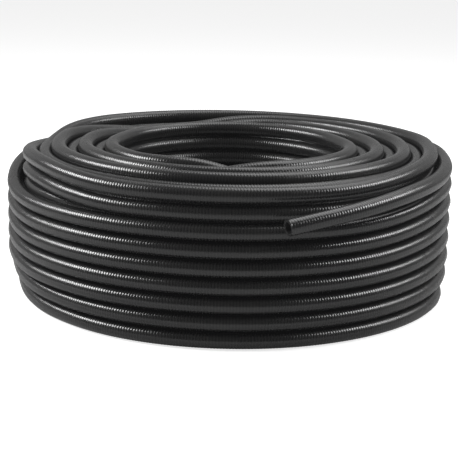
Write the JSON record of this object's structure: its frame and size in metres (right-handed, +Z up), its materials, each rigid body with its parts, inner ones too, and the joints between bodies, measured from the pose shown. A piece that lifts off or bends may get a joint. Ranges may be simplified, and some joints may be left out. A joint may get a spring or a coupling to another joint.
{
  "type": "coiled soaker hose",
  "caption": "Coil of finely ribbed black garden hose, wound in nested wraps round an open eye, with one bare cut end led loose across the front.",
  "frame": {"origin": "on the floor under the centre of the coil", "axes": "+Z up through the coil's eye, -Y towards the side where the free end crosses the outside of the coil, +X to the right of that side"},
  "size_m": [0.4773, 0.5049, 0.1596],
  "materials": {
    "hose": "satin"
  },
  "bodies": {
    "root": {"hose_wrap_1": "hose", "hose_wrap_2": "hose", "hose_wrap_3": "hose", "hose_wrap_4": "hose", "hose_wrap_5": "hose", "hose_wrap_6": "hose", "hose_wrap_7": "hose", "hose_wrap_8": "hose", "hose_free_end": "hose", "hose_inner_tail": "hose"}
  },
  "joints": []
}
